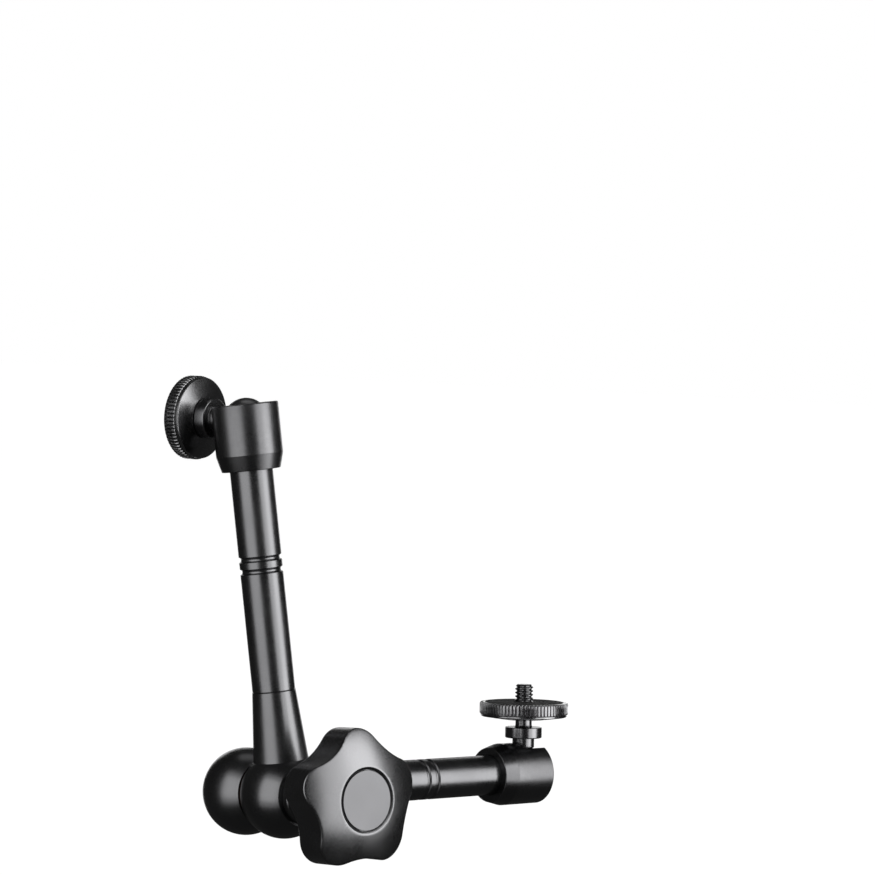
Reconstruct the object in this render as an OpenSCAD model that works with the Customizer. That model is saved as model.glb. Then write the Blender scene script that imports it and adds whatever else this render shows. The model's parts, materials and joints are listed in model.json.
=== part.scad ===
// Articulating friction arm: two tubes joined at a clamping elbow, a ball joint with a
// threaded stud and a lock wheel at each free end. One star knob at the elbow locks all
// three joints through a conical wedge and a push rod in each tube.
//
// Frame: the origin is on the clamping face of lock wheel A, on the stud's axis. -X points
// out along stud A, +Z is up. Each ball end is drawn along its own stud or arm axis and
// placed by the chain of at_...() modules below, so the pose angles move whole branches.
// At the elbow, front means the knob's side: arm A is the front arm, arm B the rear one.

/* [Pose at rest] */
// Turn of the whole arm about stud A, degrees
spin_a = -4.4; // [-180:0.1:180]
// Angle between stud A and the upper arm, 0 is straight and 90 is in the slot
tilt_a = 83.1; // [-18:0.1:90]
// Turn of the upper arm inside socket cap A
swivel_a = 73.4; // [-180:0.1:180]
// Angle between the two arms at the elbow
elbow_angle = 96.7; // [30:0.1:330]
// Turn of socket cap B on the lower arm
swivel_b = 2.6; // [-180:0.1:180]
// Angle between stud B and the lower arm
tilt_b = 90; // [-18:0.1:90]
// Turn of stud B about its own axis
spin_b = -2; // [-180:1:180]

/* [Arms] */
// Distance from the elbow to the ball centre of each arm
arm_len = 118.65; // [100:0.05:160]
// Outside radius of the arm tubes
tube_r = 6.8; // [6.7:0.05:6.82]
// Radius of the bore that carries the push rod
tube_bore_r = 3.6; // [3.55:0.05:3.8]
// Distance from the elbow to the end of the knuckle shank
shank_len = 33.1; // [31:0.1:36]
// Radius of the shank where it meets the tube
shank_tip_r = 6.88; // [6.85:0.01:7.2]
// Radius of the shank near the knuckle ball
shank_root_r = 8.23; // [8:0.01:8.6]
// Distance from the elbow to the middle of the pair of ring grooves
groove_pos = 73.1; // [60:0.05:80]
// Width of each ring groove
groove_w = 1.7; // [1:0.05:3]
// Distance between the middles of the two grooves
groove_pitch = 3.85; // [3.5:0.05:6]
// Depth of the ring grooves
groove_depth = 0.7; // [0.2:0.05:0.9]

/* [Elbow] */
// Radius of the two knuckle balls
knuckle_r = 14; // [13.8:0.1:15]
// Distance between the two arms' planes along the elbow axis
arm_gap = 20.35; // [20:0.05:20.6]
// Distance from the front knuckle's middle to its flat front face
front_cut = 10.2; // [10:0.05:10.4]
// Radius of the clamp bolt's shank
bolt_r = 4; // [3.8:0.1:4.1]
// Outside radius of the two wedge cones
cone_r = 8; // [7.9:0.05:8]
// Radius of the pressure sleeve between the knuckle and the knob
sleeve_r = 9; // [8.7:0.1:9.4]

/* [Star knob] */
// Distance from the rear arm's plane to the back of the knob
knob_back = 47.65; // [47:0.05:50]
// Height of the knob from its back to the top of its dome
knob_h = 14.85; // [14:0.05:16]
// Radius over the lobes
lobe_tip_r = 22; // [21:0.1:24]
// Radius at the bottom of the valleys between the lobes
valley_r = 17.9; // [17:0.1:19]
// Radius of each lobe's rounded end
lobe_round_r = 7.3; // [6:0.1:8.5]
// Number of lobes
lobes = 5; // [5:1:6]
// Turn of the first lobe away from the front arm's direction
knob_turn = -5; // [-36:1:36]
// Radius of the round disc in the middle of the knob
disc_r = 9.2; // [8.6:0.1:9.3]

/* [Ball ends] */
// Radius of the balls
ball_r = 7.2; // [7:0.05:7.2]
// Outside radius of the socket caps
cap_r = 10.59; // [10.4:0.01:11]
// Distance from the ball's centre to the open rim of the cap
cap_rim = 5.27; // [5:0.01:5.4]
// Width of the slot in the cap that lets the stud fold over
slot_w = 11.2; // [10:0.1:12]
// Radius of the stud's round flange
flange_r = 6.4; // [5.6:0.05:6.6]
// Radius of the stud's thread
stud_r = 3.175; // [3.175:0.005:3.175]
// Length of thread that stands out past each lock wheel
stud_out = 6; // [4:0.5:9.5]
// Distance from ball A to the clamping face of lock wheel A
face_a = 22.9; // [22.85:0.05:24]
// Distance from ball B to the clamping face of lock wheel B
face_b = 24.7; // [22.3:0.05:27]
// Radius of lock wheel A
wheel_a_r = 13.33; // [12:0.01:15]
// Thickness of lock wheel A
wheel_a_t = 5.65; // [5:0.05:5.7]
// Radius of lock wheel B
wheel_b_r = 15.34; // [13:0.01:16]
// Thickness of lock wheel B
wheel_b_t = 5.1; // [5:0.05:5.8]

/* [Hidden] */
$fn = 96;
run = 0.05;                   // radial clearance of the running fits

// Ball ends, heights from the ball's centre
tube_end = -7;
boundary = -10.8;             // joint between the socket cap and its collar
collar_end = -15.7;
spigot_r = 8.8;               // radius of the cap's spigot inside the collar
clip_r = 6.1;                 // inside radius of the retaining ring
clip_low = -8.6;
clip_high = -7.8;
counterbore_r = 5.2;          // wide bore at the tube's ball end
counterbore_low = -9;
seat_back = -14;              // face of the ball seat that meets the push rod
tail_r = 2.5;                 // stud tail, pinned in the ball
tail_z = -1.5;
neck_r = 2.75;
relief_r = 3.8;               // stud between the stem and the flange
stud_pitch_r = stud_r - 0.413;
flange_z = 12.2;              // underside of the stud's flange
flange_t = 3.7;
hub_r = 6.8;                  // radius of each lock wheel's hub
hub_rise = 1.15;              // height of each lock wheel's hub above its rim
pad_depth = 1.2;              // recess for the pad in each wheel's clamping face
pad_rim = 1.9;                // width of the wheel's rim around that recess

// Knuckle shank and push rod, heights from the elbow axis along the arm
plug_r = 5.4;                 // turned-down end of the tube inside the shank
plug_len = 9;
root_flare = 0.57;            // extra shank radius at the knuckle
cone_mid_r = 5.5;             // cone radius on the push rod's axis
rod_r = 2.5;                  // push rod radius, also its round nose
nose_gap = 0.02;
rod_h = cone_mid_r + (rod_r + nose_gap) * sqrt(2);   // centre of the nose on the 45 degree cone

// Elbow, heights along the elbow axis from the rear arm's plane
mid = arm_gap / 2;            // the plane where the two knuckles meet
face_gap = 0.5;               // half the room between the knuckle faces
washer_t = 0.95;              // thickness of the elbow's friction washer
cone_small = 5.1;             // small end of each wedge cone
cone_tip = cone_mid_r - cone_small;   // arm's plane to the cone's small end
cone_base = cone_r - cone_mid_r;      // arm's plane to the cone's large end
bush_low = 4;
bush_top = 15;
wedge_bore_z = 17;            // start of the front wedge's bore
wedge_top = 30;               // where the front wedge meets the sleeve
sleeve_step = 30.62;          // where the sleeve widens
thrust_low = knob_back - 1.25;
head_r = 7;                   // clamp bolt head
head_low = -8.2;
head_top = -4.6;
key_y = -5.5;                 // key pin's offset from the elbow axis
key_r = 1.2;
key_low = -11.5;
key_depth = 6;                // depth of the key pin's holes
spring_r = 4.75;
spring_wire_r = 0.4;
spring_turns = 7;

// Star knob
knob_top = knob_back + knob_h;
knob_edge = knob_top - 4.2;   // height of the dome at the lobe tips
knob_crown_r = 10;            // radius where the dome reaches the knob's top
disc_pocket = 1.5;            // depth of the disc's pocket
nut_r = 7.5;                  // nut radius over its corners
nut_low = knob_top - 8.5;

// Colours
body_black = [0.09, 0.09, 0.095];
wheel_black = [0.10, 0.10, 0.105];
pad_black = [0.08, 0.08, 0.08];
knob_black = [0.07, 0.07, 0.075];
disc_black = [0.12, 0.12, 0.125];
ball_grey = [0.14, 0.14, 0.15];
stud_grey = [0.16, 0.16, 0.17];
clip_grey = [0.45, 0.45, 0.47];
bolt_grey = [0.5, 0.5, 0.52];
rod_grey = [0.55, 0.55, 0.57];
spring_grey = [0.6, 0.6, 0.62];
seat_white = [0.85, 0.84, 0.8];
bush_tan = [0.62, 0.48, 0.28];
nut_yellow = [0.72, 0.6, 0.3];
washer_brown = [0.2, 0.12, 0.08];

// ---- the chain of frames, from stud A to stud B ----
module at_stud_a() translate([face_a, 0, 0]) rotate([0, -90, 0]) children();
module at_cap_a() at_stud_a() rotate([0, 0, spin_a]) rotate([0, tilt_a, 0]) children();
module at_arm_a() at_cap_a() rotate([0, 0, swivel_a]) children();
module at_front() at_arm_a() translate([0, 0, -arm_len]) children();
// z along the elbow axis towards the knob, 0 in the rear arm's plane
module at_axis() at_front() translate([0, arm_gap, 0]) rotate([90, 0, 0]) children();
module at_rear() at_front() translate([0, arm_gap, 0]) rotate([0, elbow_angle, 0]) children();
module at_rear_axis() at_rear() rotate([90, 0, 0]) children();
module at_arm_b() at_rear() translate([0, 0, arm_len]) children();
module at_cap_b() at_arm_b() rotate([0, 0, swivel_b]) children();
module at_ball_b() at_cap_b() rotate([0, -tilt_b, 0]) children();
module at_stud_b() at_ball_b() rotate([0, 0, spin_b]) children();

module ring(r_in, r_out, z0, z1) {
    rotate_extrude() polygon([[r_in, z0], [r_out, z0], [r_out, z1], [r_in, z1]]);
}

// ---- ball ends: z points out of the arm, 0 is the ball's centre; outlines are [r, z] ----
// tail, stem, flange and thread; under the wheel the thread is drawn at its pitch radius
module stud(face) {
    flange_top = flange_z + flange_t;
    tip = face + stud_out;
    rotate_extrude() polygon([
        [0, tail_z], [tail_r, tail_z], [tail_r, 7.25], [neck_r, 7.25], [neck_r, 8.3],
        [relief_r, 9], [relief_r, flange_z],
        [flange_r - 0.35, flange_z], [flange_r, flange_z + 0.35],
        [flange_r, flange_top - 0.2], [flange_r - 0.2, flange_top],
        [stud_pitch_r, flange_top], [stud_pitch_r, face],
        [stud_r, face], [stud_r, tip - 0.5], [stud_r - 0.5, tip], [0, tip]]);
}

// raised grip band, ring on the arm's side, face coned up to the hub, recess for the pad
module lock_wheel(r, t, face) {
    bore = stud_r + run;
    back = face - t;
    recess_r = r - pad_rim;
    rotate_extrude() polygon([
        [bore, face - pad_depth], [bore, back - hub_rise], [hub_r, back - hub_rise],
        [r - 0.65, back], [r - 0.4, back + 0.25],
        [r - 0.4, face - 4.45], [r - 0.15, face - 4.4], [r, face - 4.2],
        [r, face - 0.6], [r - 0.4, face - 0.2],
        [recess_r, face - 0.2], [recess_r, face - pad_depth]]);
}

module wheel_pad(r, face) {
    ring(stud_r + 0.25, r - pad_rim - 0.05, face - pad_depth + 0.02, face);
}

module ball() {
    difference() {
        sphere(r = ball_r);
        translate([0, 0, tail_z - 0.05]) cylinder(r = tail_r + 0.03, h = 12);
    }
}

module socket_cap() {
    socket_r = ball_r + run;
    mouth_r = 4.4;
    spigot_end = tube_end + 0.1;
    difference() {
        rotate_extrude() polygon([
            [socket_r, spigot_end], [spigot_r, spigot_end], [spigot_r, boundary],
            [cap_r, boundary], [cap_r, cap_rim - 0.35], [cap_r - 0.35, cap_rim],
            [mouth_r, cap_rim], [mouth_r, 4], [socket_r, 0]]);
        sphere(r = socket_r);
        // slot open to the rim, on the side the stud folds to
        translate([-20, -slot_w / 2, 0]) cube([20, slot_w, 10]);
        rotate([0, -90, 0]) cylinder(r = slot_w / 2, h = 20);
    }
}

module cap_collar() {
    bore = tube_r + run;
    shoulder = clip_low - 0.05;
    rotate_extrude() polygon([
        [bore, collar_end], [9.15, collar_end], [9.4, collar_end + 0.25], [cap_r, boundary],
        [spigot_r, boundary], [spigot_r, shoulder], [bore, shoulder]]);
}

// open ring with its 30 degree gap centred on +x
module retaining_ring() {
    outer_r = 8.6;
    rotate([0, 0, 15]) rotate_extrude(angle = 330)
        polygon([[clip_r, clip_low], [outer_r, clip_low],
            [outer_r, clip_high], [clip_r, clip_high]]);
}

// stem in the tube's bore, wide cup against the ball
module ball_seat() {
    stem_r = 3.5;
    collar_r = 5.1;
    cup_r = 6.6;
    difference() {
        rotate_extrude() polygon([
            [0, seat_back], [stem_r - 0.3, seat_back], [stem_r, seat_back + 0.3],
            [stem_r, -8.3], [collar_r, -8.3], [collar_r, -6.4],
            [cup_r, -6.4], [cup_r, -4], [0, -4]]);
        sphere(r = ball_r + 0.03);
    }
}

// ---- tubes: 0 is the ball's centre ----
function groove_points(z) = [
    [tube_r, z - groove_w / 2], [tube_r - groove_depth, z - groove_w / 2 + 0.15],
    [tube_r - groove_depth, z + groove_w / 2 - 0.15], [tube_r, z + groove_w / 2]];

module arm_tube() {
    shank_end = shank_len - arm_len;
    plug_end = shank_end - plug_len;
    groove_mid = groove_pos - arm_len;
    rotate_extrude() polygon([
        [tube_bore_r, plug_end], [plug_r - 0.2, plug_end], [plug_r, plug_end + 0.2],
        [plug_r, shank_end], [tube_r, shank_end],
        each groove_points(groove_mid - groove_pitch / 2),
        each groove_points(groove_mid + groove_pitch / 2),
        // groove for the retaining ring
        [tube_r, clip_low - 0.01], [clip_r, clip_low - 0.01],
        [clip_r, clip_high + 0.01], [tube_r, clip_high + 0.01],
        [tube_r, tube_end], [counterbore_r, tube_end],
        [counterbore_r, counterbore_low], [tube_bore_r, counterbore_low]]);
}

// the rod runs from the wedge cone to the back of the ball seat
module push_rod() {
    translate([0, 0, rod_h - arm_len]) sphere(r = rod_r);
    translate([0, 0, rod_h - arm_len]) cylinder(r = rod_r, h = arm_len + seat_back - rod_h);
}

// ---- elbow ----
// ball with its tapered shank along +z
module knuckle_body() {
    flare_r = shank_root_r + root_flare;
    sphere(r = knuckle_r);
    rotate_extrude() polygon([
        [0, 0], [flare_r, 0], [flare_r, 10.2], [shank_root_r, 17],
        [shank_tip_r + 0.02, shank_len - 0.25], [shank_tip_r - 0.2, shank_len],
        [0, shank_len]]);
}

// rod guide and tube socket inside the shank
module shank_bores() {
    cylinder(r = rod_r + 0.1, h = shank_len);
    translate([0, 0, shank_len - plug_len - 0.05]) cylinder(r = plug_r, h = 12);
}

// cylinder on the key pin's axis
module key_cylinder(r, z, h) {
    translate([0, key_y, z]) cylinder(r = r, h = h);
}

module nut_prism(h) {
    translate([0, 0, nut_low]) linear_extrude(h) circle(r = nut_r, $fn = 6);
}

// ---- star outline: arcs over the lobes, arcs of the opposite sense in the valleys ----
function arc_points(centre, r, start, end, steps) =
    [for (i = [0:steps])
        let (angle = start + (end - start) * i / steps)
        centre + r * [cos(angle), sin(angle)]];

function turned(points, angle) =
    [for (p = points)
        [p[0] * cos(angle) - p[1] * sin(angle), p[0] * sin(angle) + p[1] * cos(angle)]];

module star_outline() {
    step = 360 / lobes;
    half = step / 2;
    lobe_dist = lobe_tip_r - lobe_round_r;
    // valley arc tangent to the lobe arcs
    valley_arc_r = (pow(lobe_dist, 2) + pow(valley_r, 2)
            - 2 * lobe_dist * valley_r * cos(half) - pow(lobe_round_r, 2))
        / (2 * (lobe_round_r - valley_r + lobe_dist * cos(half)));
    valley_dist = valley_r + valley_arc_r;
    valley_centre = valley_dist * [cos(half), sin(half)];
    // direction from a lobe's centre to the next valley's centre
    tangent = atan2(valley_centre[1], valley_centre[0] - lobe_dist);
    // the valley arc stops short of the tangent points, which the lobe arcs already hold
    inset = (half - tangent) / 6;
    outline = concat(
        arc_points([lobe_dist, 0], lobe_round_r, -tangent, tangent, 12),
        arc_points(valley_centre, valley_arc_r,
            tangent + 180 + inset, 2 * half - tangent + 180 - inset, 8));
    polygon([for (k = [0:lobes - 1]) each turned(outline, k * step)]);
}

// round wire wound on a helix, along z from z0 to z1
module coil(r, wire, z0, z1, turns) {
    segments = 18;
    sides = 8;
    last = turns * segments;
    rise = (z1 - z0 - 2 * wire) / last;
    points = [for (i = [0:last]) for (j = [0:sides - 1])
        let (along = 360 * i / segments, around = 360 * j / sides,
             reach = r + wire * cos(around))
        [reach * cos(along), reach * sin(along), z0 + wire + rise * i + wire * sin(around)]];
    faces = concat(
        [[for (j = [0:sides - 1]) j]],
        [for (i = [0:last - 1]) for (j = [0:sides - 1])
            let (k = (j + 1) % sides, here = i * sides, next = here + sides)
            each [[here + j, next + j, next + k], [here + j, next + k, here + k]]],
        [[for (j = [sides - 1:-1:0]) last * sides + j]]);
    polyhedron(points, faces);
}

// ---- nodes: end A ----
module stud_a() color(stud_grey) at_stud_a() stud(face_a);
module wheel_pad_a() color(pad_black) at_stud_a() wheel_pad(wheel_a_r, face_a);
module lock_wheel_a() color(wheel_black) at_stud_a() lock_wheel(wheel_a_r, wheel_a_t, face_a);
module ball_a() color(ball_grey) at_stud_a() ball();
module socket_cap_a() color(body_black) at_cap_a() socket_cap();
module cap_collar_a() color(body_black) at_cap_a() cap_collar();
module arm_tube_a() color(body_black) at_arm_a() arm_tube();
module retaining_ring_a() color(clip_grey) at_arm_a() retaining_ring();
module push_rod_a() color(rod_grey) at_arm_a() push_rod();
module ball_seat_a() color(seat_white) at_cap_a() ball_seat();

// ---- nodes: elbow ----
module knuckle_front() color(body_black)
    difference() {
        at_front() knuckle_body();
        at_axis() {
            // flat front face and flat face towards the rear knuckle
            translate([-30, -30, arm_gap + front_cut]) cube([60, 60, 30]);
            translate([-30, -30, -30 + mid + face_gap]) cube([60, 60, 30]);
            // bush seat, bolt passage and wedge bore
            translate([0, 0, mid - 1]) cylinder(r = cone_r, h = bush_top + 1 - mid);
            cylinder(r = 5.4, h = 30);
            translate([0, 0, wedge_bore_z]) cylinder(r = cone_r + run, h = 20);
        }
        at_front() shank_bores();
    }
module elbow_bush() color(bush_tan) at_axis() ring(5.5, cone_r, bush_low, bush_top);
module friction_washer() color(washer_brown)
    at_axis() ring(8.2, 9.3, mid - washer_t / 2, mid + washer_t / 2);
module wedge_cone_front() color(rod_grey) at_axis() rotate_extrude()
    polygon([[bolt_r + run, arm_gap - cone_tip], [cone_small, arm_gap - cone_tip],
        [cone_r, arm_gap + cone_base], [cone_r, wedge_top], [bolt_r + run, wedge_top]]);
module pressure_sleeve() color(body_black) at_axis() rotate_extrude()
    polygon([[bolt_r + run, wedge_top], [cone_r - 0.05, wedge_top],
        [cone_r - 0.05, sleeve_step], [sleeve_r, sleeve_step],
        [sleeve_r, thrust_low], [bolt_r + run, thrust_low]]);
module thrust_washer() color(bush_tan)
    at_axis() ring(bolt_r + run, 8.6, thrust_low, knob_back - 0.05);

module star_knob() color(knob_black) at_axis() {
    // the dome is one sphere through the crown's edge and the lobe tips
    dome_z = (pow(knob_crown_r, 2) + pow(knob_top, 2) - pow(lobe_tip_r, 2) - pow(knob_edge, 2))
        / (2 * (knob_top - knob_edge));
    dome_r = sqrt(pow(knob_crown_r, 2) + pow(knob_top - dome_z, 2));
    difference() {
        intersection() {
            translate([0, 0, knob_back]) rotate([0, 0, 90 + knob_turn])
                linear_extrude(knob_h) star_outline();
            translate([0, 0, dome_z]) sphere(r = dome_r);
        }
        translate([0, 0, knob_top - disc_pocket]) cylinder(r = disc_r + 0.18, h = 5);
        nut_prism(10);
        translate([0, 0, knob_back - 1]) cylinder(r = bolt_r + 0.1, h = 20);
    }
}
module knob_nut() color(nut_yellow) at_axis()
    difference() {
        nut_prism(6.5);
        translate([0, 0, nut_low - 0.5]) cylinder(r = bolt_r + run, h = 8);
    }
module knob_disc() color(disc_black) at_axis()
    translate([0, 0, knob_top - disc_pocket]) cylinder(r = disc_r, h = 1.2);

module knuckle_rear() color(body_black)
    difference() {
        at_rear() knuckle_body();
        at_rear_axis() {
            translate([-30, -30, mid - face_gap]) cube([60, 60, 60]);
            translate([0, 0, -9.5]) cylinder(r = cone_r + run, h = 25);
            key_cylinder(key_r, key_low, key_depth);
        }
        at_rear() shank_bores();
    }
module bolt_key_pin() color(rod_grey)
    at_rear_axis() key_cylinder(key_r, key_low, key_depth + 0.1);
module clamp_bolt() color(bolt_grey) at_rear_axis()
    difference() {
        rotate_extrude() polygon([
            [0, head_low], [head_r, head_low], [head_r, head_top], [bolt_r, head_top],
            [bolt_r, knob_top - 3], [bolt_r - 0.5, knob_top - 2.5], [0, knob_top - 2.5]]);
        key_cylinder(key_r + 0.05, -9, key_depth);
    }
module wedge_cone_rear() color(rod_grey) at_rear_axis() rotate_extrude()
    polygon([[bolt_r, head_top], [cone_r, head_top], [cone_r, -cone_base],
        [cone_small, cone_tip], [bolt_r, cone_tip]]);
module release_spring() color(spring_grey) at_rear_axis()
    coil(spring_r, spring_wire_r, cone_tip + 0.03, arm_gap - cone_tip - 0.06, spring_turns);

// ---- nodes: end B ----
module arm_tube_b() color(body_black) at_arm_b() arm_tube();
module retaining_ring_b() color(clip_grey) at_arm_b() retaining_ring();
module push_rod_b() color(rod_grey) at_arm_b() push_rod();
module ball_seat_b() color(seat_white) at_cap_b() ball_seat();
module socket_cap_b() color(body_black) at_cap_b() socket_cap();
module cap_collar_b() color(body_black) at_cap_b() cap_collar();
module ball_b() color(ball_grey) at_ball_b() ball();
module stud_b() color(stud_grey) at_stud_b() stud(face_b);
module wheel_pad_b() color(pad_black) at_stud_b() wheel_pad(wheel_b_r, face_b);
module lock_wheel_b() color(wheel_black) at_stud_b() lock_wheel(wheel_b_r, wheel_b_t, face_b);

stud_a();
wheel_pad_a();
lock_wheel_a();
ball_a();
socket_cap_a();
cap_collar_a();
arm_tube_a();
retaining_ring_a();
push_rod_a();
ball_seat_a();
knuckle_front();
elbow_bush();
friction_washer();
wedge_cone_front();
pressure_sleeve();
thrust_washer();
star_knob();
knob_nut();
knob_disc();
knuckle_rear();
bolt_key_pin();
clamp_bolt();
wedge_cone_rear();
release_spring();
arm_tube_b();
retaining_ring_b();
push_rod_b();
ball_seat_b();
socket_cap_b();
cap_collar_b();
ball_b();
stud_b();
wheel_pad_b();
lock_wheel_b();
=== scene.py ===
"""Articulated arm: two tubes joined at an elbow, each ending in a ball and threaded stud.

The CAD joints place every piece. The elbow's knob axis passes through both knuckles: the rear
one carries arm B, the front one carries arm A, and the star knob lies beyond the front one.
Pieces are modelled in millimetres in local frames (see local_frame) and scaled to metres.
"""
import json
import math
from collections import namedtuple

import bpy
import bmesh
import numpy as np
from mathutils import Matrix, Vector


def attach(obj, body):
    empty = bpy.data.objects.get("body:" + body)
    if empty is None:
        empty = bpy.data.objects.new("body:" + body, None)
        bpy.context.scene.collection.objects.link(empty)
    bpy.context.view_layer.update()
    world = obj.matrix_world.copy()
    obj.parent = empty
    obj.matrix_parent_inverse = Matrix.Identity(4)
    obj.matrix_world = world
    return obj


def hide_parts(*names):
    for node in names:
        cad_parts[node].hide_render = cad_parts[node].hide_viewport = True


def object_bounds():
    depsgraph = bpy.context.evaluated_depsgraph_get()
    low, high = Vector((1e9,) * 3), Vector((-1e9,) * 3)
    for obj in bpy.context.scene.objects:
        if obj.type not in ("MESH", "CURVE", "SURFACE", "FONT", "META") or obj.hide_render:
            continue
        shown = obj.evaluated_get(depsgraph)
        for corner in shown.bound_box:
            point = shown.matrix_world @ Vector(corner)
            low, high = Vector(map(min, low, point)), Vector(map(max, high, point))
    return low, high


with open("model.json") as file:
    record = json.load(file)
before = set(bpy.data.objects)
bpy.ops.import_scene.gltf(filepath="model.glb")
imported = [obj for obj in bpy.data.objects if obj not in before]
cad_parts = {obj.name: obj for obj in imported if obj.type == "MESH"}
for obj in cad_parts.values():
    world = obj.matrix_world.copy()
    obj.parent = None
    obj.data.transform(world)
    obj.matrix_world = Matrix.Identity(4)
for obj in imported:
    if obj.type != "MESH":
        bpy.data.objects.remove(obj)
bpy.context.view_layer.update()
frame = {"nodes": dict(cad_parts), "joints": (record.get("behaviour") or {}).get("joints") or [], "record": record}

# ------------------------------------------------------------------ sizes, mm
ARM = 118.65                # knuckle middle to ball middle
KNUCKLE_PITCH = 20.35       # between the knuckle middles, along the knob axis
ELBOW_PLANE = KNUCKLE_PITCH / 2
KNUCKLE_R = 14.0
KNUCKLE_CLEAR = 0.5         # each knuckle's face to the elbow plane
KNUCKLE_BORE_R = 8.05
FRONT_CUT = 10.2            # front knuckle's middle to its flat on the knob side

TUBE_R = 6.8
TUBE_BORE_R = 3.6
SHANK = 33.1                # knuckle middle to the end of its shank
SHANK_BORE_R = 5.4
ROD_BORE_R = 2.6
GROOVE_POS = 73.1           # knuckle middle to midway between the two tube grooves
GROOVE_PITCH = 3.85
GROOVE_W = 1.7
GROOVE_D = 0.7

CAP_R = 10.59
CAP_BORE_R = 8.8
CAP_RIM = 5.27
CAP_BASE = -10.8            # where cap and collar meet
BALL_R = 7.2
SEAT_R = BALL_R + 0.05
SLOT_W = 11.2

FLANGE_R = 6.4
FLANGE_Z = 12.2
FLANGE_T = 3.7
NECK_TOP = 18.2             # ball middle to the start of the thread
STUD_R = 3.175
THREAD_PITCH = 1.27
THREAD_DEPTH = 0.62
STUD_OUT = 6.0              # thread beyond the wheel's face
HUB_R = 6.8
HUB_RISE = 1.15

KNOB_BACK = 47.65           # knob heights run from the rear knuckle's middle
KNOB_TOP = 62.5
KNOB_BORE_R = 4.1
KNOB_LOBES = 5
KNOB_TURN = -5.0            # degrees
DISC_R = 9.2
DISC_SEAT = KNOB_TOP - 1.5
SLEEVE_BORE_R = 4.05
SLEEVE_TOP = KNOB_BACK - 1.25

# ------------------------------------------------------------------ frames
joints = {joint["name"]: joint for joint in frame["joints"]}


def joint_pos(name):
    return Vector(joints[name]["pos_m"])


def joint_axis(name):
    return Vector(joints[name]["axis"]).normalized()


def local_frame(origin, z, x):
    """Millimetre frame with its origin and z axis given, x as near as it can be."""
    z = z.normalized()
    x = (x - z * x.dot(z)).normalized()
    y = z.cross(x)
    axes = Matrix((
        (x.x, y.x, z.x, origin.x),
        (x.y, y.y, z.y, origin.y),
        (x.z, y.z, z.z, origin.z),
        (0, 0, 0, 1),
    ))
    return axes @ Matrix.Scale(0.001, 4)


ball_a = joint_pos("stud_a_spin")
ball_b = joint_pos("stud_b_tilt")
stud_dir_a = joint_axis("stud_a_spin")
stud_dir_b = joint_axis("stud_b_spin")
arm_dir_a = joint_axis("socket_a_swivel")   # arm directions run from knuckle to ball
arm_dir_b = joint_axis("socket_b_swivel")
knob_axis = joint_axis("front_clamp_slide")
side_a = arm_dir_a.cross(knob_axis)
side_b = arm_dir_b.cross(knob_axis)
rear_middle = joint_pos("elbow_swing")
front_middle = ball_a - arm_dir_a * (ARM / 1000)
mount_b = next(m for m in frame["record"]["mounts"] if m["name"] == "stud_b_thread")

KNOB_FRAME = local_frame(rear_middle, knob_axis, side_a)
REAR_FRAME = local_frame(rear_middle, knob_axis, side_b)
FRONT_SHANK_FRAME = local_frame(front_middle, arm_dir_a, side_a)
REAR_SHANK_FRAME = local_frame(rear_middle, arm_dir_b, side_b)

# face is the distance from the ball's middle to the lock wheel's outer face
End = namedtuple("End", "letter arm_frame cap_frame stud_frame face wheel_r wheel_t teeth")
ENDS = (
    End(
        letter="a",
        arm_frame=local_frame(ball_a, arm_dir_a, side_a),
        cap_frame=local_frame(ball_a, arm_dir_a, -stud_dir_a),
        stud_frame=local_frame(ball_a, stud_dir_a, Vector((0, 0, 1))),
        face=ball_a.length * 1000,          # stud A's face is at the origin
        wheel_r=13.33, wheel_t=5.65, teeth=68,
    ),
    End(
        letter="b",
        arm_frame=local_frame(ball_b, arm_dir_b, side_b),
        cap_frame=local_frame(ball_b, arm_dir_b, -stud_dir_b),
        stud_frame=local_frame(ball_b, stud_dir_b, arm_dir_b),
        face=(Vector(mount_b["pos_m"]) - ball_b).length * 1000,
        wheel_r=15.34, wheel_t=5.1, teeth=76,
    ),
)


# ------------------------------------------------------------------ mesh tools
def fillet(points, step=9.0):
    """Rounds the corners of an outline of (r, z) or (r, z, radius); step is degrees per side."""
    out = []
    for i, point in enumerate(points):
        radius = point[2] if len(point) > 2 else 0.0
        if radius <= 0:
            out.append((point[0], point[1]))
            continue
        corner = np.array(point[:2], float)
        back = np.array(points[i - 1][:2], float) - corner
        ahead = np.array(points[(i + 1) % len(points)][:2], float) - corner
        back_len, ahead_len = np.linalg.norm(back), np.linalg.norm(ahead)
        back, ahead = back / back_len, ahead / ahead_len
        angle = math.acos(max(-1, min(1, float(back @ ahead))))
        turn = math.pi - angle
        if turn < 0.02:
            out.append((point[0], point[1]))
            continue
        # the arc starts and ends this far from the corner, short of each side's middle
        trim = min(radius / math.tan(angle / 2), 0.48 * back_len, 0.48 * ahead_len)
        radius = trim * math.tan(angle / 2)
        bisector = (back + ahead) / np.linalg.norm(back + ahead)
        centre = corner + bisector * (radius / math.sin(angle / 2))
        start = corner + back * trim - centre
        end = corner + ahead * trim - centre
        sides = max(2, int(math.ceil(math.degrees(turn) / step)))
        start_angle = math.atan2(start[1], start[0])
        end_angle = math.atan2(end[1], end[0])
        sweep = (end_angle - start_angle + math.pi) % (2 * math.pi) - math.pi
        for j in range(sides + 1):
            t = start_angle + sweep * j / sides
            out.append((centre[0] + radius * math.cos(t), centre[1] + radius * math.sin(t)))
    return out


def sphere_profile(radius, z_from, z_to, steps=44):
    start, end = math.acos(z_from / radius), math.acos(z_to / radius)
    angles = [start + (end - start) * i / steps for i in range(steps + 1)]
    return [(radius * math.sin(a), radius * math.cos(a)) for a in angles]


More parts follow.
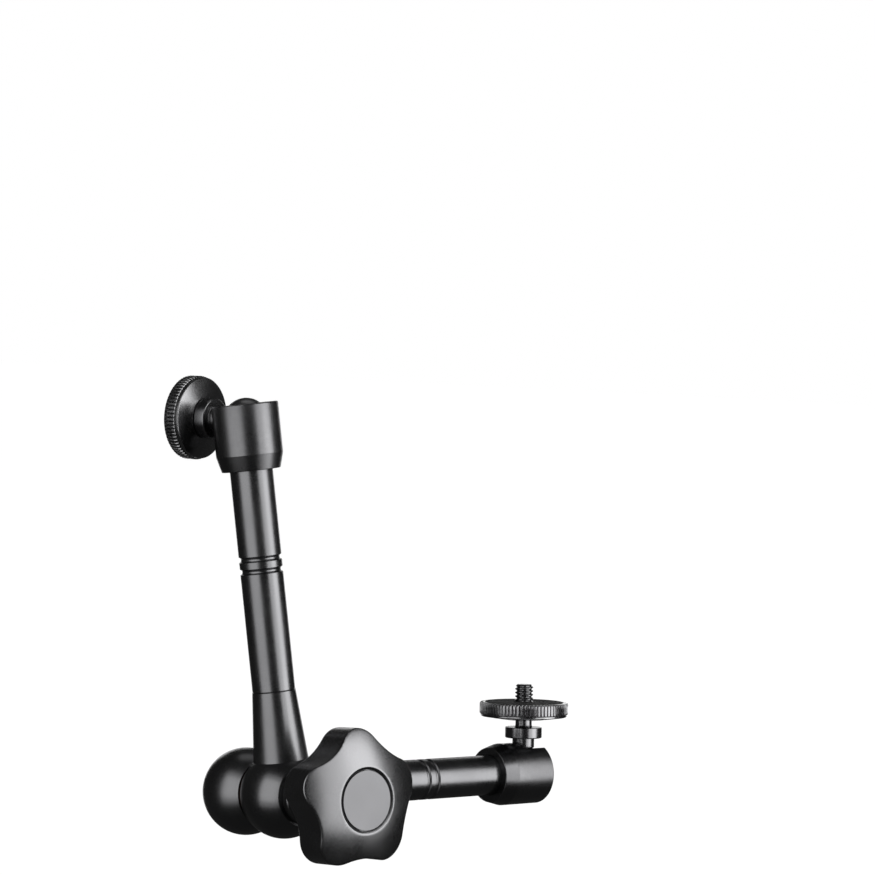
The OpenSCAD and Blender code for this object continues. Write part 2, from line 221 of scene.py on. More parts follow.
def mesh_object(name, verts, faces, matrix):
    bm = bmesh.new()
    bm_verts = [bm.verts.new(v) for v in verts]
    for face in faces:
        bm.faces.new([bm_verts[i] for i in face])
    bmesh.ops.remove_doubles(bm, verts=bm.verts, dist=1e-5)
    bmesh.ops.dissolve_degenerate(bm, edges=bm.edges, dist=1e-6)
    bmesh.ops.recalc_face_normals(bm, faces=bm.faces)
    mesh = bpy.data.meshes.new(name)
    bm.to_mesh(mesh)
    bm.free()
    mesh.transform(matrix)
    ob = bpy.data.objects.new(name, mesh)
    bpy.context.scene.collection.objects.link(ob)
    return ob


def revolve(name, profile, matrix, segs, closed=True, shape=None):
    """Revolves (r, z) points about z. shape(row, side, r) may return another r for a vertex."""
    verts, faces, rows = [], [], []
    for k, (r, z) in enumerate(profile):
        if r < 1e-6:
            rows.append([len(verts)])
            verts.append((0.0, 0.0, z))
            continue
        rows.append(list(range(len(verts), len(verts) + segs)))
        for s in range(segs):
            t = 2 * math.pi * s / segs
            radius = shape(k, s, r) if shape else r
            verts.append((radius * math.cos(t), radius * math.sin(t), z))
    pairs = list(zip(rows, rows[1:]))
    if closed:
        pairs.append((rows[-1], rows[0]))
    for a, b in pairs:
        for s in range(segs):
            t = (s + 1) % segs
            if len(a) == 1:
                faces.append((a[0], b[s], b[t]))
            elif len(b) == 1:
                faces.append((a[s], b[0], a[t]))
            else:
                faces.append((a[s], b[s], b[t], a[t]))
    return mesh_object(name, verts, faces, matrix)


def lathe(name, points, matrix, segs=144, closed=True, step=9.0):
    """Fillets the outline, then revolves it."""
    return revolve(name, fillet(points, step), matrix, segs, closed)


def boolean(ob, tool, operation):
    """Applies the boolean to ob and removes the tool."""
    mod = ob.modifiers.new("bool", "BOOLEAN")
    mod.operation = operation
    mod.solver = "EXACT"
    mod.object = tool
    bpy.context.view_layer.update()
    depsgraph = bpy.context.evaluated_depsgraph_get()
    mesh = bpy.data.meshes.new_from_object(ob.evaluated_get(depsgraph))
    ob.modifiers.clear()
    old = ob.data
    ob.data = mesh
    mesh.name = ob.name
    bpy.data.meshes.remove(old)
    bpy.data.objects.remove(tool)


def smooth(ob, angle):
    """Smooth faces, with edges sharper than the angle kept crisp."""
    mesh = ob.data
    mesh.polygons.foreach_set("use_smooth", [True] * len(mesh.polygons))
    bm = bmesh.new()
    bm.from_mesh(mesh)
    limit = math.radians(angle)
    for edge in bm.edges:
        edge.smooth = len(edge.link_faces) == 2 and edge.calc_face_angle(0.0) < limit
    bm.to_mesh(mesh)
    bm.free()


def bevel_edges(ob, width_mm, angle, segments):
    mod = ob.modifiers.new("edge", "BEVEL")
    mod.width = width_mm / 1000
    mod.limit_method = "ANGLE"
    mod.angle_limit = math.radians(angle)
    mod.segments = segments
    mod.miter_outer = "MITER_ARC"


def dress(ob, material, body, angle=32.0, weight=True):
    """Finishes a skin; it replaces the CAD node it is named after."""
    smooth(ob, angle)
    ob.data.materials.clear()
    ob.data.materials.append(material)
    if weight:
        mod = ob.modifiers.new("normals", "WEIGHTED_NORMAL")
        mod.mode = "FACE_AREA"
        mod.keep_sharp = True
        mod.weight = 60
    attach(ob, body)
    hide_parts(ob.name.removesuffix("_skin"))


# ------------------------------------------------------------------ materials
def fill(shader_node, inputs):
    """Sets each input to a value, or links it when given a socket."""
    for key, value in inputs.items():
        if isinstance(value, bpy.types.NodeSocket):
            shader_node.id_data.links.new(value, shader_node.inputs[key])
        else:
            shader_node.inputs[key].default_value = value


def node(tree, kind, location, inputs=None, **properties):
    new = tree.nodes.new(kind)
    new.location = location
    for key, value in properties.items():
        setattr(new, key, value)
    fill(new, inputs or {})
    return new


def new_material(name):
    """Material, node tree and Principled node."""
    material = bpy.data.materials.new(name)
    material.use_nodes = True
    return material, material.node_tree, material.node_tree.nodes["Principled BSDF"]


def shade(color, factor):
    return [min(1, c * factor) for c in color]


def metal(name, color, rough, grain=0.12, bump=0.04, cloud=0.05, edge=0.0, edge_color=None):
    """Anodised, blackened or bare metal: fine grain in the roughness and bump, a slow cloud in
    roughness and colour, and edges lightened by pointiness, which stands for wear and, on the
    knob, for a painted highlight. Positions are object space, in metres."""
    material, tree, principled = new_material(name)
    place = node(tree, "ShaderNodeTexCoord", (-1400, 0)).outputs["Object"]
    fine = node(tree, "ShaderNodeTexNoise", (-1150, 150), {
        "Scale": 9000.0, "Detail": 2.0, "Roughness": 0.6, "Vector": place}).outputs["Fac"]
    slow = node(tree, "ShaderNodeTexNoise", (-1150, -150), {
        "Scale": 55.0, "Detail": 4.0, "Roughness": 0.55, "Vector": place}).outputs["Fac"]
    # roughness
    grain_range = node(tree, "ShaderNodeMapRange", (-850, 150), {
        "From Min": 0.3, "From Max": 0.7,
        "To Min": rough - grain * 0.5, "To Max": rough + grain * 0.5, "Value": fine})
    cloud_range = node(tree, "ShaderNodeMapRange", (-850, -150), {
        "From Min": 0.3, "From Max": 0.7, "To Min": -cloud, "To Max": cloud, "Value": slow})
    roughness = node(tree, "ShaderNodeMath", (-620, 0), {
        0: grain_range.outputs["Result"], 1: cloud_range.outputs["Result"],
    }, operation="ADD", use_clamp=True)
    # colour: a slight drift, and lighter on edges, as wear and, on the knob, as a painted highlight
    base = node(tree, "ShaderNodeMix", (-620, 420), {
        "A": (*shade(color, 0.93), 1), "B": (*shade(color, 1.07), 1), "Factor": slow,
    }, data_type="RGBA").outputs["Result"]
    if edge > 0:
        # edges lightened by pointiness: wear, and where set strong (the knob) a painted highlight
        geometry = node(tree, "ShaderNodeNewGeometry", (-1150, 700))
        edge_rub_and_glint = node(tree, "ShaderNodeMapRange", (-850, 700), {
            "From Min": 0.53, "From Max": 0.66, "To Min": 0.0, "To Max": edge,
            "Value": geometry.outputs["Pointiness"]}, clamp=True)
        patches = node(tree, "ShaderNodeTexNoise", (-1150, 950), {
            "Scale": 700.0, "Detail": 3.0, "Vector": place})
        wear_and_glint = node(tree, "ShaderNodeMath", (-620, 800), {
            0: edge_rub_and_glint.outputs["Result"], 1: patches.outputs["Fac"],
        }, operation="MULTIPLY", use_clamp=True)
        base = node(tree, "ShaderNodeMix", (-380, 500), {
            "B": (*edge_color, 1), "Factor": wear_and_glint.outputs[0], "A": base,
        }, data_type="RGBA").outputs["Result"]
    relief = node(tree, "ShaderNodeBump", (-380, -350), {
        "Strength": bump, "Distance": 0.00004, "Height": fine})
    fill(principled, {
        "Base Color": base, "Roughness": roughness.outputs[0], "Normal": relief.outputs["Normal"],
        "Metallic": 1.0, "IOR": 1.5, "Coat Roughness": 0.25})
    return material


def plastic(name, color, rough, scale=1800.0, bump=0.15, fleck=None):
    """Moulded or pressed material with a fine texture."""
    material, tree, principled = new_material(name)
    place = node(tree, "ShaderNodeTexCoord", (-1200, 0)).outputs["Object"]
    noise = node(tree, "ShaderNodeTexNoise", (-950, 100), {
        "Scale": scale, "Detail": 3.0, "Vector": place}).outputs["Fac"]
    cells = node(tree, "ShaderNodeTexVoronoi", (-950, -200), {
        "Scale": scale * 0.6, "Vector": place})
    base = node(tree, "ShaderNodeMix", (-450, 250), {
        "A": (*shade(color, 1 - 0.08), 1), "B": (*(fleck or shade(color, 1 + 0.08)), 1),
        "Factor": noise}, data_type="RGBA")
    roughness = node(tree, "ShaderNodeMapRange", (-700, 0), {
        "To Min": rough - 0.07, "To Max": rough + 0.07, "Value": noise})
    relief = node(tree, "ShaderNodeBump", (-450, -250), {
        "Strength": bump, "Distance": 0.00008, "Height": cells.outputs["Distance"]})
    fill(principled, {
        "Base Color": base.outputs["Result"], "Roughness": roughness.outputs["Result"],
        "Normal": relief.outputs["Normal"]})
    return material


RUB_AND_GLINT = (0.45, 0.45, 0.46)     # edge colour: anodising worn at the edges, and on the knob a painted highlight
TUBE_BLACK = metal("tube_black", color=(0.17, 0.17, 0.175), rough=0.29,
                   edge=0.10, edge_color=RUB_AND_GLINT)
BODY_BLACK = metal("black_anodised", color=(0.158, 0.158, 0.162), rough=0.30,
                   edge=0.10, edge_color=RUB_AND_GLINT)
# painted light: base colour raised above the disc's to brighten the dome, and edges lightened strongly as painted
# highlights on the rounded rims
KNOB_BLACK_PAINTED_LIGHT = metal("knob_black", color=(0.195, 0.195, 0.20), rough=0.28, grain=0.06, bump=0.02,
                   edge=0.35, edge_color=RUB_AND_GLINT)
DISC_BLACK = metal("knob_disc_black", color=(0.122, 0.122, 0.126), rough=0.30,
                   grain=0.05, bump=0.02)
# painted shade: the tubes' anodising with a darker base colour on the caps and collars
CAP_BLACK_PAINTED_SHADE = metal("cap_black", color=(0.135, 0.135, 0.139), rough=0.30,
                  edge=0.10, edge_color=RUB_AND_GLINT)
WHEEL_BLACK = metal("wheel_black", color=(0.25, 0.25, 0.255), rough=0.22,
                    edge=0.22, edge_color=(0.55, 0.55, 0.56))
STUD_BLACK = metal("black_steel", color=(0.20, 0.20, 0.205), rough=0.26, grain=0.08,
                   edge=0.30, edge_color=(0.60, 0.60, 0.60))
BALL_BLACK = metal("black_steel_ball", color=(0.24, 0.24, 0.245), rough=0.28,
                   grain=0.05, bump=0.02)
STEEL = metal("steel", color=(0.56, 0.56, 0.57), rough=0.28, grain=0.10, bump=0.06)
BRONZE = metal("bronze", color=(0.55, 0.36, 0.18), rough=0.34, grain=0.10, bump=0.06, cloud=0.07)
BRASS = metal("brass", color=(0.72, 0.55, 0.25), rough=0.25, grain=0.08, bump=0.04)
NYLON = plastic("nylon", color=(0.78, 0.77, 0.72), rough=0.45)
FIBRE = plastic("fibre", color=(0.075, 0.045, 0.03), rough=0.85, scale=3500.0, bump=0.5,
                fleck=(0.20, 0.13, 0.07))
RUBBER = plastic("rubber", color=(0.022, 0.022, 0.022), rough=0.78, scale=2600.0, bump=0.35)


# ------------------------------------------------------------------ arms
# In the outlines below, rows are (r, z) or (r, z, corner radius).
def groove_outline(middle):
    """Round-bottomed groove with softened rims."""
    half_w = GROOVE_W / 2
    radius = (half_w * half_w + GROOVE_D * GROOVE_D) / (2 * GROOVE_D)
    half_angle = math.asin(min(1, half_w / radius))
    centre_r = TUBE_R - GROOVE_D + radius
    angles = [half_angle * 0.94 * i / 7 for i in range(-7, 8)]
    arc = [(centre_r - radius * math.cos(a), middle + radius * math.sin(a)) for a in angles]
    return [(TUBE_R, middle - half_w - 0.05, 0.12), *arc, (TUBE_R, middle + half_w + 0.05, 0.12)]


def make_tube(end):
    """Tube from the shank, where a spigot enters, to inside the ball cap."""
    root = SHANK - ARM
    spigot = root - 9
    points = [(TUBE_BORE_R, spigot), (5.2, spigot), (SHANK_BORE_R, root - 8.8),
              (SHANK_BORE_R, root), (TUBE_R - 0.12, root), (TUBE_R, root + 0.14, 0.15)]
    for side in (-1, 1):
        points += groove_outline(GROOVE_POS + side * GROOVE_PITCH / 2 - ARM)
    # a narrow square groove, the end face and a counterbore
    points += [(TUBE_R, -8.61), (6.1, -8.61), (6.1, -7.79), (TUBE_R, -7.79),
               (TUBE_R, -7.0, 0.2), (5.2, -7.0, 0.2), (5.2, -9), (TUBE_BORE_R, -9)]
    ob = lathe(f"arm_tube_{end.letter}_skin", points, end.arm_frame, segs=160)
    dress(ob, TUBE_BLACK, f"arm_{end.letter}")


for end in ENDS:
    make_tube(end)


# ------------------------------------------------------------------ knuckles
def add_shank(knuckle, matrix):
    """Joins the tapered shank to the knuckle and opens the rod bore through its wall."""
    outline = [
        (8.8, 8.7), (8.8, 10.2), (8.23, 17), (6.90, SHANK - 0.25, 0.12), (6.62, SHANK, 0.1),
        (SHANK_BORE_R, SHANK), (SHANK_BORE_R, 24.05), (ROD_BORE_R, 24.05), (ROD_BORE_R, 8.7)]
    boolean(knuckle, lathe("tmp", outline, matrix, segs=160), "UNION")
    bore = [(0, 6), (ROD_BORE_R, 6), (ROD_BORE_R, 9.5), (0, 9.5)]
    boolean(knuckle, lathe("tmp", bore, matrix, segs=48, closed=False), "DIFFERENCE")


def make_front_knuckle():
    """Ball cut flat on both sides and bored through; z is from its own middle."""
    low, high = ELBOW_PLANE + KNUCKLE_CLEAR - KNUCKLE_PITCH, FRONT_CUT
    ball = sphere_profile(KNUCKLE_R, low + 0.30, high - 0.32)
    low_r, high_r = ball[0][0], ball[-1][0]
    # heights of the inner ledge in the bore
    ledge_low, ledge_high = 15 - KNUCKLE_PITCH, 17 - KNUCKLE_PITCH
    points = [
        (8.0, low), (low_r - 0.42, low), (low_r - 0.08, low + 0.1),
        *ball,
        (high_r - 0.03, high - 0.12), (high_r - 0.2, high), (8.35, high),
        (KNUCKLE_BORE_R, high - 0.3),
        (KNUCKLE_BORE_R, ledge_high), (5.4, ledge_high), (5.4, ledge_low), (8.0, ledge_low)]
    matrix = KNOB_FRAME @ Matrix.Translation((0, 0, KNUCKLE_PITCH))
    ob = lathe("knuckle_front_skin", points, matrix, segs=192)
    add_shank(ob, FRONT_SHANK_FRAME)
    dress(ob, BODY_BLACK, "arm_a", angle=26)


def make_rear_knuckle():
    """Ball cut flat on the knob side only, with a blind bore."""
    high = ELBOW_PLANE - KNUCKLE_CLEAR
    ball = sphere_profile(KNUCKLE_R, -KNUCKLE_R, high - 0.30, steps=64)
    high_r = ball[-1][0]
    points = [
        (0.0, -KNUCKLE_R), *ball[1:],
        (high_r - 0.08, high - 0.1), (high_r - 0.42, high),
        (KNUCKLE_BORE_R, high), (KNUCKLE_BORE_R, -9.5), (0.0, -9.5)]
    ob = lathe("knuckle_rear_skin", points, REAR_FRAME, segs=192, closed=False)
    add_shank(ob, REAR_SHANK_FRAME)
    dress(ob, BODY_BLACK, "arm_b", angle=26)


make_front_knuckle()
make_rear_knuckle()


# ------------------------------------------------------------------ ball ends
def slot_cutter(matrix):
    """Round-ended prism on the -x side, open towards the rim."""
    half = SLOT_W / 2
    angles = [math.radians(a) for a in range(180, 361, 5)]
    profile = [(-half, 10.0), *[(half * math.cos(a), half * math.sin(a)) for a in angles],
               (half, 10.0)]
    verts = [(x, y, z) for x in (-20.0, 0.0) for y, z in profile]
    n = len(profile)
    faces = [tuple(range(n)), tuple(range(2 * n - 1, n - 1, -1))]
    faces += [(i, (i + 1) % n, n + (i + 1) % n, n + i) for i in range(n)]
    return mesh_object("tmp", verts, faces, matrix)


def make_cap(end):
    """Socket cap round the ball, slotted on the stud's side."""
    seat_angle = math.asin(CAP_RIM / SEAT_R)
    angles = [seat_angle * (1 - i / 10) for i in range(11)]
    seat = [(SEAT_R * math.cos(a), SEAT_R * math.sin(a)) for a in angles]
    mouth_r = seat[0][0]
    points = [
        (CAP_BORE_R, CAP_BASE), (CAP_R - 0.03, CAP_BASE), (CAP_R, CAP_BASE + 0.03),
        (CAP_R, CAP_RIM, 0.45), (mouth_r + 0.45, CAP_RIM, 0.15),
        (mouth_r + 0.06, CAP_RIM - 0.28), *seat[1:],
        (SEAT_R, -6.9), (CAP_BORE_R, -6.9)]
    ob = lathe(f"socket_cap_{end.letter}_skin", points, end.cap_frame, segs=192, step=12)
    boolean(ob, slot_cutter(end.cap_frame), "DIFFERENCE")
    bevel_edges(ob, width_mm=0.28, angle=42, segments=3)
    dress(ob, CAP_BLACK_PAINTED_SHADE, f"socket_{end.letter}", angle=30)


def make_collar(end):
    """Tapered collar between tube and cap."""
    bore_r, low, inner_top = TUBE_R + 0.05, -15.7, -8.65
    points = [
        (bore_r, low, 0.15), (9.3, low, 0.3), (CAP_R, CAP_BASE - 0.04), (CAP_R - 0.03, CAP_BASE),
        (CAP_BORE_R, CAP_BASE), (CAP_BORE_R, inner_top), (bore_r, inner_top)]
    ob = lathe(f"cap_collar_{end.letter}_skin", points, end.cap_frame, segs=160)
    dress(ob, CAP_BLACK_PAINTED_SHADE, f"socket_{end.letter}")


def make_ball(end):
    """Ball with a flat and a blind bore on the stud's side."""
    flat, bore_r, bore_floor = 6.72, 2.53, -1.55
    ball = sphere_profile(BALL_R, -BALL_R, flat, steps=60)
    points = [(0.0, -BALL_R), *ball[1:], (bore_r, flat), (bore_r, bore_floor), (0.0, bore_floor)]
    ob = lathe(f"ball_{end.letter}_skin", points, end.stud_frame, segs=128, closed=False)
    dress(ob, BALL_BLACK, f"ball_{end.letter}")


def make_thread(end):
    """Helical thread from the neck to the tip, run out at both ends."""
    low, high = NECK_TOP, end.face + STUD_OUT
    segs = 72
    rows = int(round((high - low) / (THREAD_PITCH / 12)))
    verts, faces = [(0.0, 0.0, low)], []
    for k in range(rows + 1):
        z = low + (high - low) * k / rows
        for i in range(segs):
            turn = i / segs
            phase = (z / THREAD_PITCH - turn) % 1.0
            crest = min(1.0, max(0.0, 1.25 - abs(phase - 0.5) * 3.0))
            r = STUD_R - THREAD_DEPTH * (1 - crest)
            # chamfer at the tip, run-out at the neck
            r = min(r, STUD_R - (z - (high - 0.75)), 2.55 + (z - low) * 0.9)
            verts.append((r * math.cos(2 * math.pi * turn), r * math.sin(2 * math.pi * turn), z))
    tip = len(verts)
    verts.append((0.0, 0.0, high))
    top = 1 + rows * segs
    for i in range(segs):
        j = (i + 1) % segs
        faces.append((0, 1 + j, 1 + i))
        faces.append((tip, top + i, top + j))
    for k in range(rows):
        a, b = 1 + k * segs, 1 + (k + 1) * segs
        for i in range(segs):
            j = (i + 1) % segs
            faces.append((a + i, a + j, b + j, b + i))
    return mesh_object("tmp", verts, faces, end.stud_frame)


def make_stud(end):
    """Tail in the ball, flange, neck and thread."""
    flange_top = FLANGE_Z + FLANGE_T
    tail_r, waist_r, root_r, neck_r = 2.5, 2.75, 3.8, 2.85
    neck_end = NECK_TOP + 0.1       # overlaps the thread
    points = [
        (0, -1.5), (tail_r, -1.5), (tail_r, 7.25), (waist_r, 7.25), (waist_r, 8.3, 0.5),
        (root_r, 9.0, 0.2), (root_r, FLANGE_Z, 0.15),
        (FLANGE_R, FLANGE_Z, 0.45), (FLANGE_R, flange_top, 0.25),
        (3.1, flange_top, 0.2), (neck_r, flange_top + 0.7, 0.4), (neck_r, neck_end),
        (0, neck_end)]
    ob = lathe(f"stud_{end.letter}_skin", points, end.stud_frame, closed=False)
    boolean(ob, make_thread(end), "UNION")
    dress(ob, STUD_BLACK, f"stud_{end.letter}", angle=34, weight=False)


# One wheel tooth round the rim: 0 is the bottom of the notch, 1 the crest
TOOTH = [0.0, 0.3, 0.8, 1.0, 1.0, 1.0, 1.0, 1.0, 0.8, 0.3]
# Toothed band: (depth below the wheel's radius, depth below its face, notch depth)
TOOTH_BAND = [
    (0.42, 4.26, 0.04), (0.16, 4.18, 0.32), (0, 4.0, 0.56), (0, 3.0, 0.60),
    (0, 1.8, 0.60), (0, 0.66, 0.56), (0.14, 0.46, 0.32), (0.38, 0.26, 0.04),
]


def make_wheel(end):
    """Lock wheel: hub and cone on the ball's side, toothed band, recess for the pad."""
    r, face = end.wheel_r, end.face
    cone_z = face - end.wheel_t
    bore_r, hub_z = STUD_R + 0.07, cone_z - HUB_RISE
    before = fillet([
        (bore_r, face - 1.2), (bore_r, hub_z), (HUB_R, hub_z, 0.25),
        (r - 0.7, cone_z, 0.12), (r - 0.4, cone_z + 0.22, 0.12), (r - 0.4, face - 4.7)])
    before += [(r - 0.44, face - 4.44), (r - 0.6, face - 4.4), (r - 0.64, face - 4.34)]
    band = [(r - inset, face - depth) for inset, depth, _ in TOOTH_BAND]
    after = [(r - 0.6, face - 0.2), (r - 1.7, face - 0.2), (r - 1.86, face - 0.3),
             (r - 1.9, face - 1.2)]

    def notch(row, side, radius):
        j = row - len(before)
        if 0 <= j < len(TOOTH_BAND):
            radius -= TOOTH_BAND[j][2] * (1 - TOOTH[side % len(TOOTH)])
        return radius

    ob = revolve(f"lock_wheel_{end.letter}_skin", before + band + after, end.stud_frame,
                 segs=end.teeth * len(TOOTH), shape=notch)
    dress(ob, WHEEL_BLACK, f"lock_wheel_{end.letter}", angle=40, weight=False)


def make_pad(end):
    """Rubber pad in the wheel's face, with shallow concentric grooves."""
    inner, outer, face = STUD_R + 0.25, end.wheel_r - 1.95, end.face
    points = [(inner, face - 1.18), (outer, face - 1.18), (outer, face, 0.2)]
    rings = 6
    for i in range(rings):
        r = outer - 0.9 - i * (outer - inner - 1.6) / rings
        points += [(r + 0.22, face), (r + 0.1, face - 0.14), (r - 0.1, face - 0.14),
                   (r - 0.22, face)]
    points += [(inner, face, 0.15)]
    ob = lathe(f"wheel_pad_{end.letter}_skin", points, end.stud_frame)
    dress(ob, RUBBER, f"wheel_pad_{end.letter}")


for make_piece in (make_cap, make_collar, make_ball, make_stud, make_wheel, make_pad):
    for end in ENDS:
        make_piece(end)


# ------------------------------------------------------------------ elbow and knob
def star_outline():
    """Returns the knob's radius as a function of angle: round lobes blended into hollows."""
    lobe_r, tip, valley = 7.3, KNOB_TIP_R, 17.9
    half = math.radians(180 / KNOB_LOBES)
    lobe_dist = tip - lobe_r
    # hollow radius that makes the hollow's arc tangent to the lobes
    hollow_r = (lobe_dist ** 2 + valley ** 2 - 2 * lobe_dist * valley * math.cos(half)
                - lobe_r ** 2) / (2 * (lobe_r - valley + lobe_dist * math.cos(half)))
    hollow_dist = valley + hollow_r
    tangent = math.atan2(hollow_dist * math.sin(half), hollow_dist * math.cos(half) - lobe_dist)
    lobe_edge = math.atan2(lobe_r * math.sin(tangent), lobe_dist + lobe_r * math.cos(tangent))

    def radius(angle):
        p = (angle + half) % (2 * half) - half
        if abs(p) <= lobe_edge:
            chord = lobe_r ** 2 - (lobe_dist * math.sin(p)) ** 2
            return lobe_dist * math.cos(p) + math.sqrt(max(0, chord))
        q = half - abs(p)
        chord = hollow_r ** 2 - (hollow_dist * math.sin(q)) ** 2
        return hollow_dist * math.cos(q) - math.sqrt(max(0, chord))

    return radius


KNOB_TIP_R = 22.0


def make_knob():
    """Star knob: domed top with a recess for the disc, rounded edges, flat underside."""
    outline = star_outline()
    # the dome falls from the full height at crown_r to edge_z at the lobe tips
    crown_r, edge_z = 10, KNOB_TOP - 4.2
    dome_z = (crown_r ** 2 + KNOB_TOP ** 2 - KNOB_TIP_R ** 2 - edge_z ** 2) / (
        2 * (KNOB_TOP - edge_z))
    dome_r = math.sqrt(crown_r ** 2 + (KNOB_TOP - dome_z) ** 2)

    def dome(r):
        return dome_z + math.sqrt(dome_r * dome_r - r * r)

    top_round, back_round = 0.6, 1.5
    segs, dome_steps = 400, 15
    dome_start = DISC_R + 1.2
    recess = [
        (KNOB_BORE_R, DISC_SEAT), (DISC_R + 0.18, DISC_SEAT), (DISC_R + 0.18, KNOB_TOP - 0.48),
        (DISC_R + 0.24, KNOB_TOP - 0.41), (DISC_R + 0.95, KNOB_TOP - 0.13),
        (DISC_R + 1.05, KNOB_TOP - 0.085), (dome_start, dome(dome_start))]
    bore = [(9.6, KNOB_BACK), (4.4, KNOB_BACK), (KNOB_BORE_R, KNOB_BACK + 0.3),
            (KNOB_BORE_R, KNOB_TOP - 8)]
    back_z = KNOB_BACK + back_round
    verts = []
    for s in range(segs):
        angle = 2 * math.pi * s / segs
        rim = outline(angle)
        slope = math.asin((rim - 0.5) / dome_r)     # of the dome near the rim
        dome_end = rim - top_round + top_round * math.sin(slope)
        top_z = dome(dome_end) - top_round * math.cos(slope)
        column = list(recess)
        for i in range(1, dome_steps):
            r = dome_start + (dome_end - dome_start) * i / dome_steps
            column.append((r, dome(r)))
        for i in range(7):
            t = slope + (math.pi / 2 - slope) * i / 6
            column.append((rim - top_round + top_round * math.sin(t),
                           top_z + top_round * math.cos(t)))
        for i in range(1, 5):
            column.append((rim, top_z + (back_z - top_z) * i / 5))
        for i in range(7):
            t = math.pi / 2 * i / 6
            column.append((rim - back_round + back_round * math.cos(t),
                           back_z - back_round * math.sin(t)))
        flat_r = rim - back_round
        column += [(flat_r + (12.0 - flat_r) * i / 4, KNOB_BACK) for i in range(1, 5)]
        column += bore
        n = len(column)
        verts += [(r * math.cos(angle), r * math.sin(angle), z) for r, z in column]
    faces = []
    for s in range(segs):
        t = (s + 1) % segs
        for k in range(n):
            j = (k + 1) % n
            faces.append((s * n + k, s * n + j, t * n + j, t * n + k))
    matrix = KNOB_FRAME @ Matrix.Rotation(math.radians(90 + KNOB_TURN), 4, "Z")
    ob = mesh_object("star_knob_skin", verts, faces, matrix)
    dress(ob, KNOB_BLACK_PAINTED_LIGHT, "knob", angle=40)


def make_disc():
    """Disc in the recess of the knob's top."""
    top = KNOB_TOP - 0.3
    points = [(0, DISC_SEAT), (DISC_R, DISC_SEAT), (DISC_R, top, 0.14), (0, top)]
    ob = lathe("knob_disc_skin", points, KNOB_FRAME, segs=160, closed=False)
    dress(ob, DISC_BLACK, "knob")


def make_sleeve():
    """Pressure sleeve between front knuckle and knob, waisted along its middle."""
    points = [
        (SLEEVE_BORE_R, 30), (7.95, 30), (7.95, 30.62), (9.0, 30.62, 0.2), (9.0, 33.2, 0.2),
        (8.7, 33.5, 0.2), (8.7, 43.4, 0.2), (9.0, 43.7, 0.2), (9.0, SLEEVE_TOP, 0.2),
        (SLEEVE_BORE_R, SLEEVE_TOP)]
    ob = lathe("pressure_sleeve_skin", points, KNOB_FRAME)
    dress(ob, BODY_BLACK, "front_clamp")


def make_thrust_washer():
    """Washer between sleeve and knob."""
    radius, top = 8.6, KNOB_BACK - 0.05
    points = [(SLEEVE_BORE_R, SLEEVE_TOP), (radius, SLEEVE_TOP, 0.15), (radius, top, 0.15),
              (SLEEVE_BORE_R, top)]
    ob = lathe("thrust_washer_skin", points, KNOB_FRAME, segs=128)
    dress(ob, BRONZE, "front_clamp")


def make_friction_washer():
    """Washer between the two knuckles."""
    inner, outer = 8.2, 9.3
    low, high = ELBOW_PLANE - 0.475, ELBOW_PLANE + 0.475
    points = [(inner, low), (outer, low, 0.12), (outer, high, 0.12), (inner, high)]
    ob = lathe("friction_washer_skin", points, KNOB_FRAME)
    dress(ob, FIBRE, "arm_a")


make_knob()
make_disc()
make_sleeve()
make_thrust_washer()
make_friction_washer()

# CAD nodes that keep their own shape: the works inside
for names, material in (
    (("retaining_ring_a", "retaining_ring_b", "push_rod_a", "push_rod_b", "wedge_cone_front",
      "wedge_cone_rear", "clamp_bolt", "bolt_key_pin", "release_spring"), STEEL),
    (("ball_seat_a", "ball_seat_b"), NYLON),
    (("elbow_bush",), BRONZE),
    (("knob_nut",), BRASS),
):
    for name in names:
        ob = frame["nodes"][name]
        ob.data.materials.clear()
        ob.data.materials.append(material)

# ------------------------------------------------------------------ camera
# View axes and places, in metres
RIGHT = Vector((0.838647, 0.543029, 0.042318))
UP = Vector((-0.050978, 0.000902, 0.998699))
FORWARD = Vector((-0.542285, 0.839713, -0.028439))
CAMERA_POS = Vector((0.583572, -0.756841, 0.023943))
TARGET = Vector((0.033, 0.048, -0.062))     # what the lights face


def make_camera():
    data = bpy.data.cameras.new("camera")
    data.sensor_width = 36.0
    data.lens = 122.85669
    data.clip_start = 0.01
    data.clip_end = 50.0
    camera = bpy.data.objects.new("camera", data)
    bpy.context.scene.collection.objects.link(camera)
    columns = Matrix((RIGHT, UP, -FORWARD)).transposed().to_4x4()
    columns.translation = CAMERA_POS
    camera.matrix_world = columns
    bpy.context.scene.camera = camera


make_camera()

# ------------------------------------------------------------------ lights
# name, azimuth to the camera's right, elevation (degrees), distance, width, height (m), radiance
SOFTBOXES = [
    ("soft_right", 62, 6, 1.0, 1.0, 1.15, 2.15),
    ("soft_right_core", 76, 8, 1.02, 0.62, 1.05, 1.45),
    ("soft_left", -37, 11, 1.0, 0.92, 1.0, 1.0),
    ("soft_left_wide", -38, 11, 1.02, 1.15, 1.65, 0.68),
    ("soft_back_right", 166, 4, 1.2, 0.45, 0.8, 1.2),
    ("soft_back_left", -166, 2, 1.2, 0.45, 0.8, 1.2),
    ("soft_top", 175, 72, 1.2, 0.7, 0.5, 0.4),
]


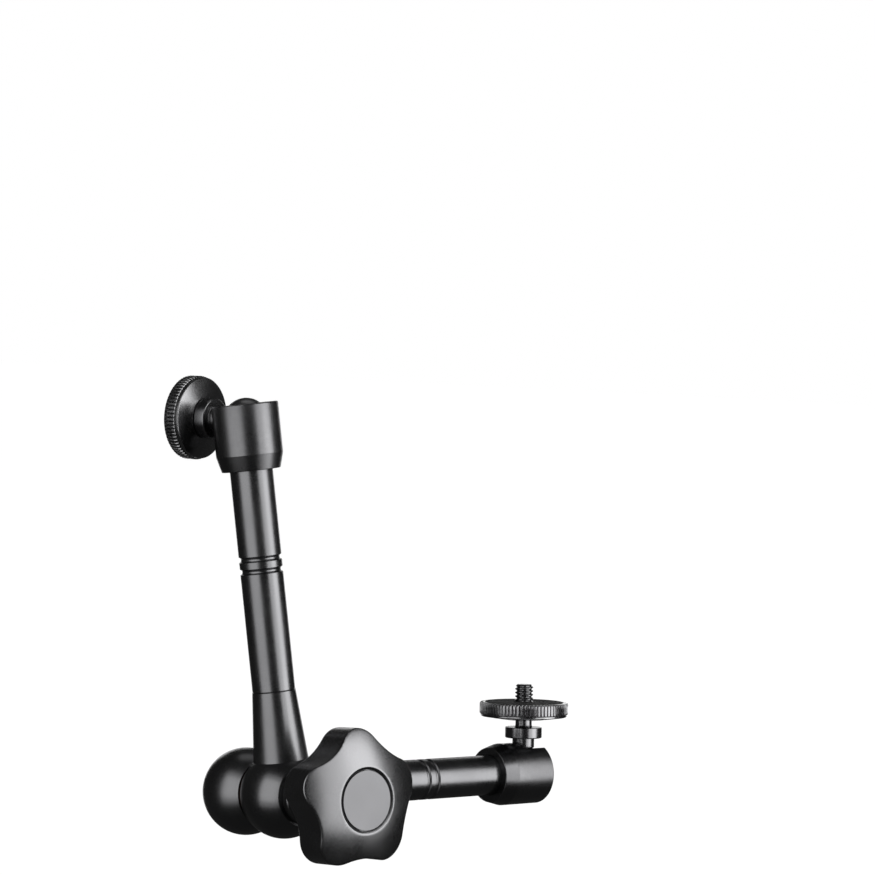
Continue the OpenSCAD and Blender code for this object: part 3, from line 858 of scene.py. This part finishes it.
def softbox(name, azimuth, elevation, distance, width, height, radiance):
    """Area light facing the target, unseen by the camera."""
    a, e = math.radians(azimuth), math.radians(elevation)
    level = -FORWARD * math.cos(a) + RIGHT * math.sin(a)
    away = (level * math.cos(e) + UP * math.sin(e)).normalized()
    light = bpy.data.lights.new(name, "AREA")
    light.shape = "RECTANGLE"
    light.size = width
    light.size_y = height
    light.energy = radiance * math.pi * width * height
    ob = bpy.data.objects.new(name, light)
    bpy.context.scene.collection.objects.link(ob)
    ob.location = TARGET + away * distance
    ob.rotation_euler = away.to_track_quat("Z", "Y").to_euler()
    ob.visible_camera = False


for row in SOFTBOXES:
    softbox(*row)


# ------------------------------------------------------------------ floor and world
def make_floor():
    """Glowing white floor just below the object; it neither reflects in it nor lights it."""
    material, _, principled = new_material("floor_pale")
    fill(principled, {
        "Base Color": (0.05, 0.05, 0.05, 1), "Roughness": 0.9,
        "Emission Color": (1, 1, 1, 1), "Emission Strength": 1.0})
    half, z = 12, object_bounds()[0][2] - 0.004
    mesh = bpy.data.meshes.new("floor")
    corners = [(-half, -half, z), (half, -half, z), (half, half, z), (-half, half, z)]
    mesh.from_pydata(corners, [], [(0, 1, 2, 3)])
    floor = bpy.data.objects.new("floor", mesh)
    bpy.context.scene.collection.objects.link(floor)
    mesh.materials.append(material)
    floor.visible_glossy = False
    floor.visible_diffuse = False


def make_world():
    """White to the camera, almost dark to everything else."""
    world = bpy.data.worlds.new("studio")
    bpy.context.scene.world = world
    world.use_nodes = True
    tree = world.node_tree
    tree.nodes.clear()
    white = (1, 1, 1, 1)
    output = node(tree, "ShaderNodeOutputWorld", (600, 0))
    mix = node(tree, "ShaderNodeMixShader", (400, 0))
    path = node(tree, "ShaderNodeLightPath", (100, 200))
    seen = node(tree, "ShaderNodeBackground", (150, -50), {"Color": white, "Strength": 1.0})
    ambient = node(tree, "ShaderNodeBackground", (150, -200), {"Color": white, "Strength": 0.035})
    fill(mix, {"Fac": path.outputs["Is Camera Ray"], 1: ambient.outputs[0], 2: seen.outputs[0]})
    fill(output, {0: mix.outputs[0]})


make_floor()
make_world()

bpy.context.scene.view_settings.view_transform = "Standard"
bpy.context.scene.view_settings.look = "None"
